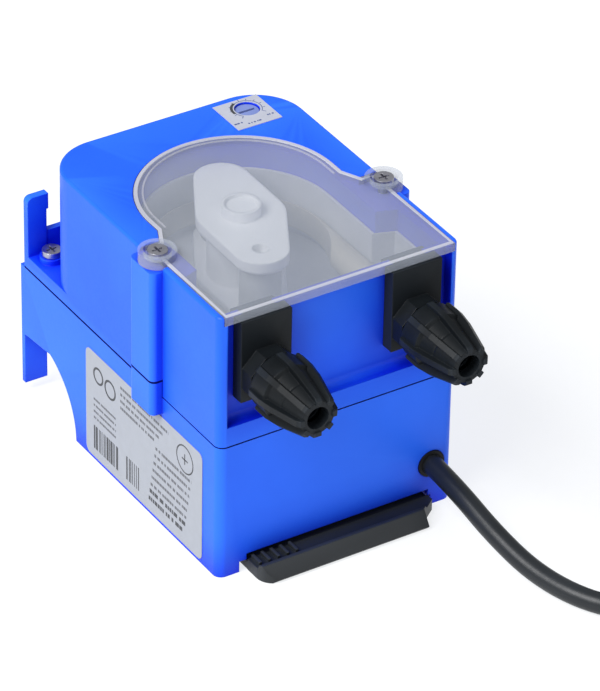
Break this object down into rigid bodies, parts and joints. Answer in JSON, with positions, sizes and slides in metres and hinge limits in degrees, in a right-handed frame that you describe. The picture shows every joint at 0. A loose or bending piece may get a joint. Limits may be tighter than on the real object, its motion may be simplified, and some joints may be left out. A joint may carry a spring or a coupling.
{
  "type": "peristaltic dosing pump",
  "caption": "Wall-mounted peristaltic dosing pump: blue two-part housing, clear pump-head cover, roller rotor, ribbed hose nuts, flow dial, release latch and mains lead.",
  "frame": {"origin": "on the wall plane, at the middle of the pump body", "axes": "+Z away from the wall towards the clear cover, +Y towards the hook end, -Y towards the hose ports and the mains lead"},
  "size_m": [0.2072, 0.2195, 0.1006],
  "materials": {
    "housing": "satin moulded blue",
    "cover": "clear, slightly milky",
    "port": "satin black",
    "liner": "grey moulded",
    "rotor": "milky white",
    "roller": "smooth",
    "tube": "translucent elastomer",
    "screw": "zinc plated",
    "shaft": "ground",
    "gear": "natural nylon",
    "motor": "satin",
    "plate": "pressed sheet",
    "board": "laminate",
    "component": "moulded case",
    "dial": "satin blue",
    "sticker": "printed label",
    "rating": "printed foil label",
    "latch": "satin black",
    "bracket": "satin black",
    "lead": "black PVC",
    "grommet": "black",
    "terminal": "terminal green",
    "tie": "nylon strap",
    "wire": "ferruled conductors"
  },
  "bodies": {
    "housing": {"rear_shell": "housing", "front_shell": "housing", "clear_cover": "cover", "cover_screws": "screw", "housing_screws": "screw", "gearbox_screws": "screw", "head_liner": "liner", "pump_tube": "tube", "left_fitting": "port", "right_fitting": "port", "gear_motor": "motor", "gearbox_base": "plate", "gearbox_plate": "plate", "gearbox_posts": "shaft", "idler_pin": "shaft", "output_bush": "wire", "circuit_board": "board", "board_parts": "component", "flow_potentiometer": "component", "terminal_block": "terminal", "cable_clamp": "latch", "inner_lead": "lead", "cable_grommet": "grommet", "dial_label": "sticker", "side_label": "rating", "wall_bracket": "bracket", "power_cord": "lead", "cord_coil": "lead", "cord_tie": "tie", "wire_ends": "wire"},
    "rotor": {"rotor_carrier": "rotor", "rotor_cap": "rotor", "roller_pins": "shaft", "output_shaft": "shaft", "output_gear": "gear"},
    "roller_1": {"roller_1": "roller"},
    "roller_2": {"roller_2": "roller"},
    "compound_gear": {"compound_gear": "gear"},
    "motor_pinion": {"motor_pinion": "shaft"},
    "left_clamp": {"left_collet": "port"},
    "left_nut": {"left_nut": "port"},
    "right_clamp": {"right_collet": "port"},
    "right_nut": {"right_nut": "port"},
    "adjuster": {"adjuster_knob": "dial"},
    "release_latch": {"release_latch": "latch"}
  },
  "joints": [
    {"name": "rotor_turn", "type": "hinge", "parent": "housing", "child": "rotor", "pos_m": [0, 0.0038, 0.0745], "axis": [0, 0, 1], "continuous": true},
    {"name": "compound_turn", "type": "hinge", "parent": "housing", "child": "compound_gear", "pos_m": [0.014, -0.0099, 0.05], "axis": [0, 0, 1], "continuous": true},
    {"name": "pinion_turn", "type": "hinge", "parent": "housing", "child": "motor_pinion", "pos_m": [-0.004, -0.0126, 0.048], "axis": [0, 0, 1], "continuous": true},
    {"name": "roller_1_turn", "type": "hinge", "parent": "rotor", "child": "roller_1", "pos_m": [0.00559, 0.02466, 0.0774], "axis": [0, 0, 1], "continuous": true},
    {"name": "roller_2_turn", "type": "hinge", "parent": "rotor", "child": "roller_2", "pos_m": [-0.00559, -0.01706, 0.0774], "axis": [0, 0, 1], "continuous": true},
    {"name": "left_clamp_travel", "type": "slide", "parent": "housing", "child": "left_clamp", "axis": [0, -1, 0], "range_m": [0, 0.012]},
    {"name": "left_nut_turn", "type": "hinge", "parent": "left_clamp", "child": "left_nut", "pos_m": [-0.0276, -0.0747, 0.0745], "axis": [0, -1, 0], "range_deg": [0, 2880.1]},
    {"name": "right_clamp_travel", "type": "slide", "parent": "housing", "child": "right_clamp", "axis": [0, -1, 0], "range_m": [0, 0.012]},
    {"name": "right_nut_turn", "type": "hinge", "parent": "right_clamp", "child": "right_nut", "pos_m": [0.0276, -0.0747, 0.0745], "axis": [0, -1, 0], "range_deg": [0, 2880.1]},
    {"name": "adjuster_turn", "type": "hinge", "parent": "housing", "child": "adjuster", "pos_m": [0.0281, 0.0461, 0.094], "axis": [0, 0, 1], "range_deg": [-135, 135]},
    {"name": "latch_slide", "type": "slide", "parent": "housing", "child": "release_latch", "axis": [0, -1, 0], "range_m": [0, 0.004], "stiffness_N_per_m": 150}
  ],
  "couplings": [
    {"joint": "compound_turn", "follows": "rotor_turn", "ratio": -3.6667},
    {"joint": "pinion_turn", "follows": "rotor_turn", "ratio": 12.222},
    {"joint": "roller_1_turn", "follows": "rotor_turn", "ratio": -4.1765},
    {"joint": "roller_2_turn", "follows": "rotor_turn", "ratio": -4.1765},
    {"joint": "left_nut_turn", "follows": "left_clamp_travel", "rad_per_m": 4188.8},
    {"joint": "right_nut_turn", "follows": "right_clamp_travel", "rad_per_m": 4188.8}
  ]
}
